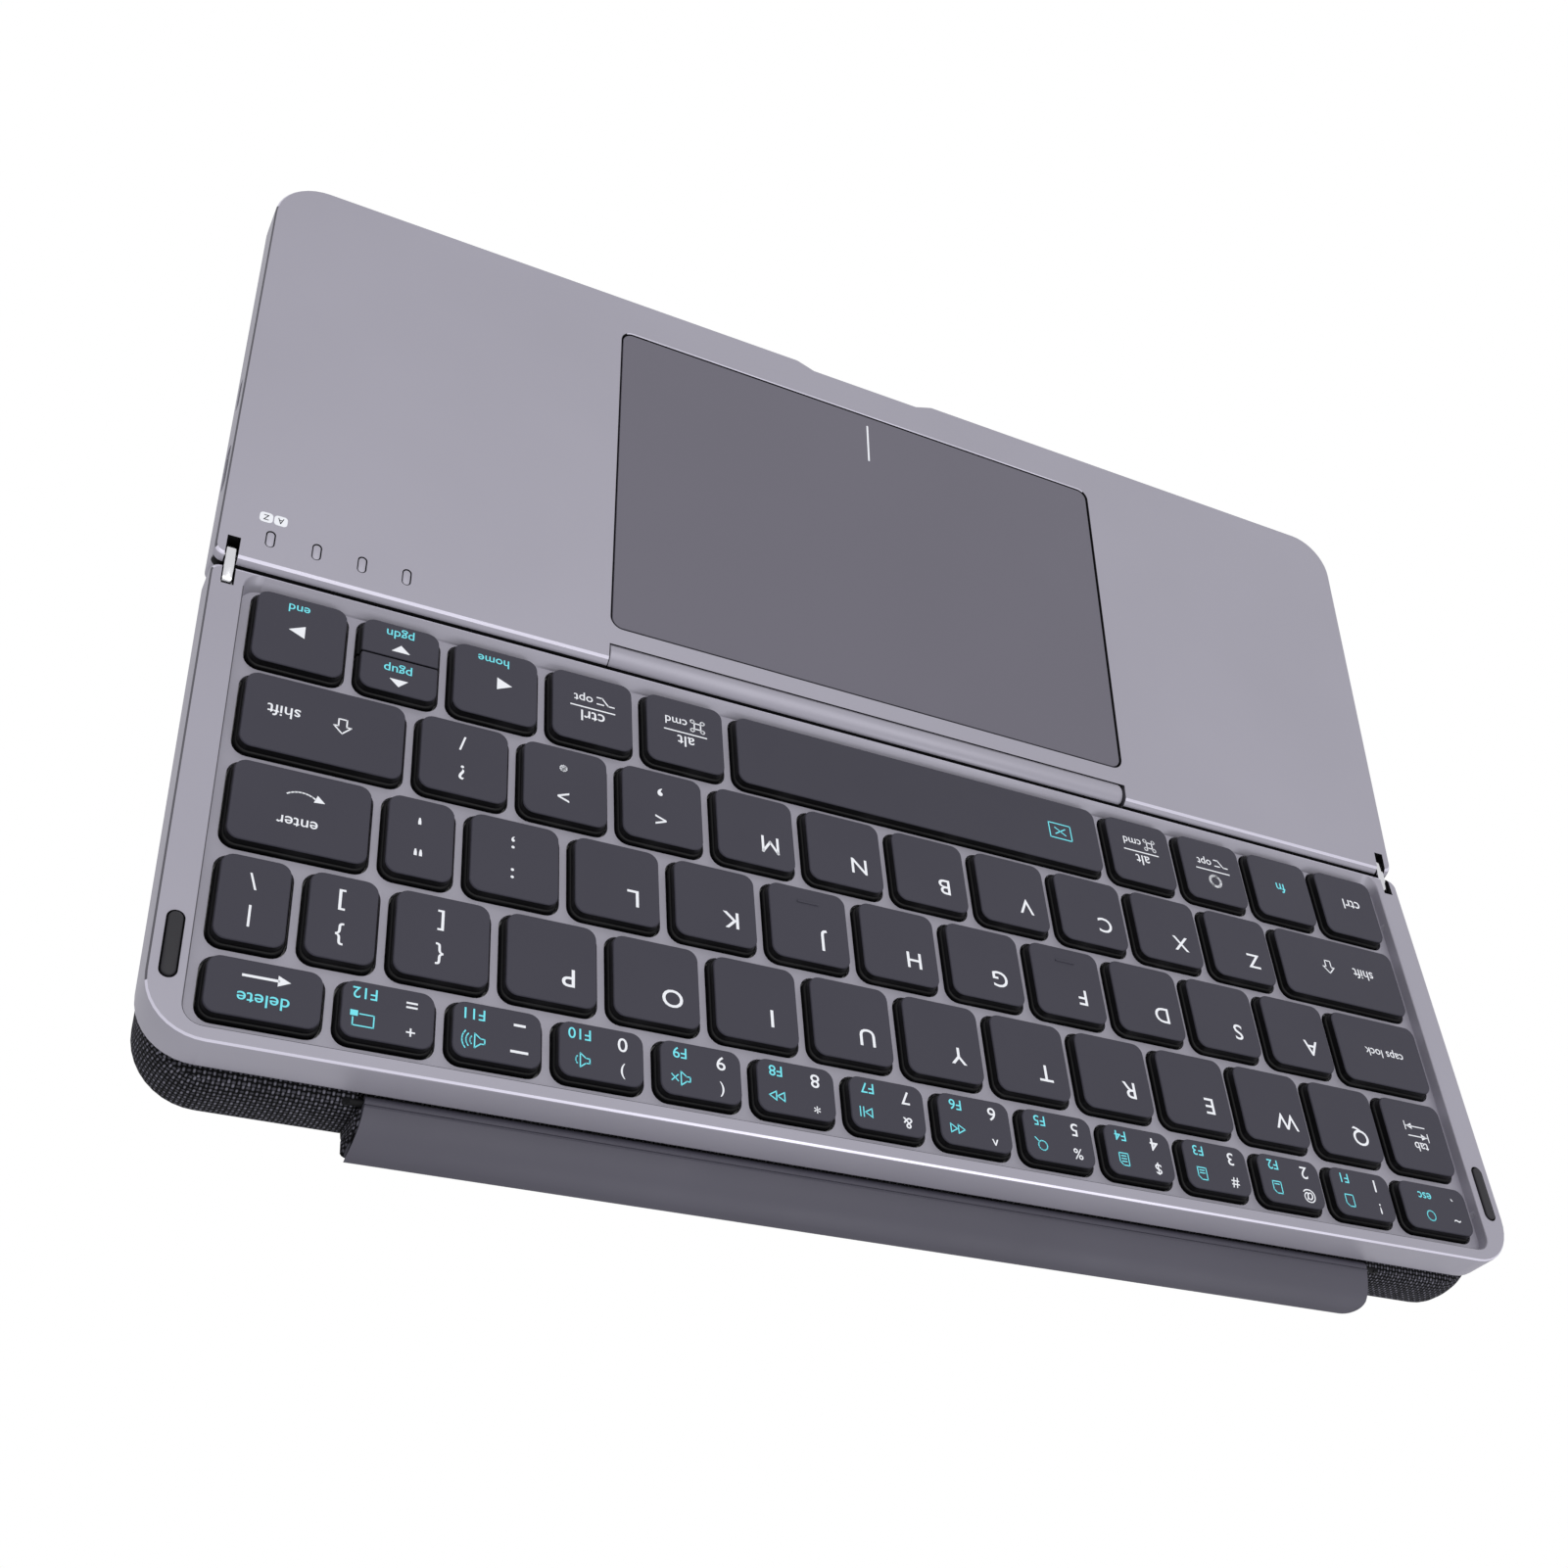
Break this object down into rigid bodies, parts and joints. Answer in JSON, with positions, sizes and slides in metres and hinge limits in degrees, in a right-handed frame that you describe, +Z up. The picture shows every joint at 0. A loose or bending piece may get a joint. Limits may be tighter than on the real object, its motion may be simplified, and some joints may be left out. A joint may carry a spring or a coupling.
{
  "type": "folding keyboard",
  "caption": "Folding keyboard with a touchpad half, a keys half on double-pivot links, pressable keys, a padded fabric cover and a hinged stand flap.",
  "frame": {"origin": "centre of the bounding box in plan, on the table under the rubber feet", "axes": "+X to the user's right along the width, +Y away from the user from the touchpad to the number row, +Z up"},
  "size_m": [0.2424, 0.1824, 0.0175],
  "materials": {
    "case": "satin",
    "dark_case": "satin",
    "keycaps": "matt",
    "fabric": "woven",
    "bright_metal": "bright",
    "rubber_pad": "matt",
    "board": "satin",
    "inner_plastic": "matt",
    "window": "clear",
    "steel": "brushed"
  },
  "bodies": {
    "touchpad_half": {"touchpad_case": "case", "touchpad_case_bottom": "case", "main_board": "board", "battery": "inner_plastic", "charging_socket": "bright_metal", "power_switch_body": "inner_plastic", "indicator_windows": "window", "click_dome": "bright_metal", "touchpad_magnets": "bright_metal", "rubber_feet": "rubber_pad", "touchpad_hinge_pins": "bright_metal", "cable_barrel": "case", "flex_ribbon": "board"},
    "hinge_links": {"hinge_link_left": "bright_metal", "hinge_link_right": "bright_metal"},
    "keys_half": {"keys_frame": "case", "key_supports": "inner_plastic", "key_domes": "rubber_pad", "key_membrane": "board", "key_plate": "steel", "rim_pads": "rubber_pad", "keys_case_bottom": "case", "keys_magnets": "bright_metal", "keys_hinge_pins": "bright_metal", "fabric_cover": "fabric", "flap_rod": "bright_metal"},
    "flap": {"stand_flap": "dark_case"},
    "touchpad": {"touchpad_plate": "dark_case", "sensor_board": "board"},
    "power_knob": {"power_slider": "dark_case"},
    "body_key_space": {"key_space": "keycaps"},
    "body_key_enter": {"key_enter": "keycaps"},
    "body_key_shift_left": {"key_shift_left": "keycaps"},
    "body_key_shift_right": {"key_shift_right": "keycaps"},
    "body_key_caps_lock": {"key_caps_lock": "keycaps"},
    "body_key_tab": {"key_tab": "keycaps"},
    "body_key_delete": {"key_delete": "keycaps"},
    "body_key_esc": {"key_esc": "keycaps"},
    "body_key_ctrl_left": {"key_ctrl_left": "keycaps"},
    "body_key_fn": {"key_fn": "keycaps"},
    "body_key_system": {"key_system": "keycaps"},
    "body_key_alt_left": {"key_alt_left": "keycaps"},
    "body_key_alt_right": {"key_alt_right": "keycaps"},
    "body_key_ctrl_right": {"key_ctrl_right": "keycaps"},
    "body_key_arrow_left": {"key_arrow_left": "keycaps"},
    "body_key_arrow_up": {"key_arrow_up": "keycaps"},
    "body_key_arrow_down": {"key_arrow_down": "keycaps"},
    "body_key_arrow_right": {"key_arrow_right": "keycaps"},
    "body_key_backslash": {"key_backslash": "keycaps"},
    "body_keys_1qaz": {"keys_1qaz": "keycaps"},
    "body_keys_2wsx": {"keys_2wsx": "keycaps"},
    "body_keys_3edc": {"keys_3edc": "keycaps"},
    "body_keys_4rfv": {"keys_4rfv": "keycaps"},
    "body_keys_5tgb": {"keys_5tgb": "keycaps"},
    "body_keys_6yhn": {"keys_6yhn": "keycaps"},
    "body_keys_7ujm": {"keys_7ujm": "keycaps"},
    "body_keys_8ik_comma": {"keys_8ik_comma": "keycaps"},
    "body_keys_9ol_dot": {"keys_9ol_dot": "keycaps"},
    "body_keys_0p_slash": {"keys_0p_slash": "keycaps"},
    "body_keys_brackets": {"keys_brackets": "keycaps"}
  },
  "joints": [
    {"name": "link_fold", "type": "hinge", "parent": "touchpad_half", "child": "hinge_links", "pos_m": [0, -0.00621, 0.0055], "axis": [1, 0, 0], "range_deg": [-3.24, 86.76]},
    {"name": "keys_fold", "type": "hinge", "parent": "hinge_links", "child": "keys_half", "pos_m": [0, -0.00042, 0.00583], "axis": [1, 0, 0], "range_deg": [-3.24, 86.76]},
    {"name": "flap_swing", "type": "hinge", "parent": "keys_half", "child": "flap", "pos_m": [0, 0.08314, 0.00918], "axis": [1, 0, 0], "range_deg": [0, 100]},
    {"name": "touchpad_click", "type": "slide", "parent": "touchpad_half", "child": "touchpad", "axis": [0, 0, -1], "range_m": [0, 0.0004], "stiffness_N_per_m": 2000},
    {"name": "power_slide", "type": "slide", "parent": "touchpad_half", "child": "power_knob", "axis": [0, -1, 0], "range_m": [-0.001, 0.001]},
    {"name": "press_key_space", "type": "slide", "parent": "keys_half", "child": "body_key_space", "axis": [0, 0.1129, -0.9936], "range_m": [0, 0.0012], "stiffness_N_per_m": 500},
    {"name": "press_key_enter", "type": "slide", "parent": "keys_half", "child": "body_key_enter", "axis": [0, 0.1129, -0.9936], "range_m": [0, 0.0012], "stiffness_N_per_m": 500},
    {"name": "press_key_shift_left", "type": "slide", "parent": "keys_half", "child": "body_key_shift_left", "axis": [0, 0.1129, -0.9936], "range_m": [0, 0.0012], "stiffness_N_per_m": 500},
    {"name": "press_key_shift_right", "type": "slide", "parent": "keys_half", "child": "body_key_shift_right", "axis": [0, 0.1129, -0.9936], "range_m": [0, 0.0012], "stiffness_N_per_m": 500},
    {"name": "press_key_caps_lock", "type": "slide", "parent": "keys_half", "child": "body_key_caps_lock", "axis": [0, 0.1129, -0.9936], "range_m": [0, 0.0012], "stiffness_N_per_m": 500},
    {"name": "press_key_tab", "type": "slide", "parent": "keys_half", "child": "body_key_tab", "axis": [0, 0.1129, -0.9936], "range_m": [0, 0.0012], "stiffness_N_per_m": 500},
    {"name": "press_key_delete", "type": "slide", "parent": "keys_half", "child": "body_key_delete", "axis": [0, 0.1129, -0.9936], "range_m": [0, 0.0012], "stiffness_N_per_m": 500},
    {"name": "press_key_esc", "type": "slide", "parent": "keys_half", "child": "body_key_esc", "axis": [0, 0.1129, -0.9936], "range_m": [0, 0.0012], "stiffness_N_per_m": 500},
    {"name": "press_key_ctrl_left", "type": "slide", "parent": "keys_half", "child": "body_key_ctrl_left", "axis": [0, 0.1129, -0.9936], "range_m": [0, 0.0012], "stiffness_N_per_m": 500},
    {"name": "press_key_fn", "type": "slide", "parent": "keys_half", "child": "body_key_fn", "axis": [0, 0.1129, -0.9936], "range_m": [0, 0.0012], "stiffness_N_per_m": 500},
    {"name": "press_key_system", "type": "slide", "parent": "keys_half", "child": "body_key_system", "axis": [0, 0.1129, -0.9936], "range_m": [0, 0.0012], "stiffness_N_per_m": 500},
    {"name": "press_key_alt_left", "type": "slide", "parent": "keys_half", "child": "body_key_alt_left", "axis": [0, 0.1129, -0.9936], "range_m": [0, 0.0012], "stiffness_N_per_m": 500},
    {"name": "press_key_alt_right", "type": "slide", "parent": "keys_half", "child": "body_key_alt_right", "axis": [0, 0.1129, -0.9936], "range_m": [0, 0.0012], "stiffness_N_per_m": 500},
    {"name": "press_key_ctrl_right", "type": "slide", "parent": "keys_half", "child": "body_key_ctrl_right", "axis": [0, 0.1129, -0.9936], "range_m": [0, 0.0012], "stiffness_N_per_m": 500},
    {"name": "press_key_arrow_left", "type": "slide", "parent": "keys_half", "child": "body_key_arrow_left", "axis": [0, 0.1129, -0.9936], "range_m": [0, 0.0012], "stiffness_N_per_m": 500},
    {"name": "press_key_arrow_up", "type": "slide", "parent": "keys_half", "child": "body_key_arrow_up", "axis": [0, 0.1129, -0.9936], "range_m": [0, 0.0012], "stiffness_N_per_m": 500},
    {"name": "press_key_arrow_down", "type": "slide", "parent": "keys_half", "child": "body_key_arrow_down", "axis": [0, 0.1129, -0.9936], "range_m": [0, 0.0012], "stiffness_N_per_m": 500},
    {"name": "press_key_arrow_right", "type": "slide", "parent": "keys_half", "child": "body_key_arrow_right", "axis": [0, 0.1129, -0.9936], "range_m": [0, 0.0012], "stiffness_N_per_m": 500},
    {"name": "press_key_backslash", "type": "slide", "parent": "keys_half", "child": "body_key_backslash", "axis": [0, 0.1129, -0.9936], "range_m": [0, 0.0012], "stiffness_N_per_m": 500},
    {"name": "press_keys_1qaz", "type": "slide", "parent": "keys_half", "child": "body_keys_1qaz", "axis": [0, 0.1129, -0.9936], "range_m": [0, 0.0012], "stiffness_N_per_m": 500},
    {"name": "press_keys_2wsx", "type": "slide", "parent": "keys_half", "child": "body_keys_2wsx", "axis": [0, 0.1129, -0.9936], "range_m": [0, 0.0012], "stiffness_N_per_m": 500},
    {"name": "press_keys_3edc", "type": "slide", "parent": "keys_half", "child": "body_keys_3edc", "axis": [0, 0.1129, -0.9936], "range_m": [0, 0.0012], "stiffness_N_per_m": 500},
    {"name": "press_keys_4rfv", "type": "slide", "parent": "keys_half", "child": "body_keys_4rfv", "axis": [0, 0.1129, -0.9936], "range_m": [0, 0.0012], "stiffness_N_per_m": 500},
    {"name": "press_keys_5tgb", "type": "slide", "parent": "keys_half", "child": "body_keys_5tgb", "axis": [0, 0.1129, -0.9936], "range_m": [0, 0.0012], "stiffness_N_per_m": 500},
    {"name": "press_keys_6yhn", "type": "slide", "parent": "keys_half", "child": "body_keys_6yhn", "axis": [0, 0.1129, -0.9936], "range_m": [0, 0.0012], "stiffness_N_per_m": 500},
    {"name": "press_keys_7ujm", "type": "slide", "parent": "keys_half", "child": "body_keys_7ujm", "axis": [0, 0.1129, -0.9936], "range_m": [0, 0.0012], "stiffness_N_per_m": 500},
    {"name": "press_keys_8ik_comma", "type": "slide", "parent": "keys_half", "child": "body_keys_8ik_comma", "axis": [0, 0.1129, -0.9936], "range_m": [0, 0.0012], "stiffness_N_per_m": 500},
    {"name": "press_keys_9ol_dot", "type": "slide", "parent": "keys_half", "child": "body_keys_9ol_dot", "axis": [0, 0.1129, -0.9936], "range_m": [0, 0.0012], "stiffness_N_per_m": 500},
    {"name": "press_keys_0p_slash", "type": "slide", "parent": "keys_half", "child": "body_keys_0p_slash", "axis": [0, 0.1129, -0.9936], "range_m": [0, 0.0012], "stiffness_N_per_m": 500},
    {"name": "press_keys_brackets", "type": "slide", "parent": "keys_half", "child": "body_keys_brackets", "axis": [0, 0.1129, -0.9936], "range_m": [0, 0.0012], "stiffness_N_per_m": 500}
  ],
  "couplings": [
    {"joint": "keys_fold", "follows": "link_fold", "ratio": 1}
  ]
}
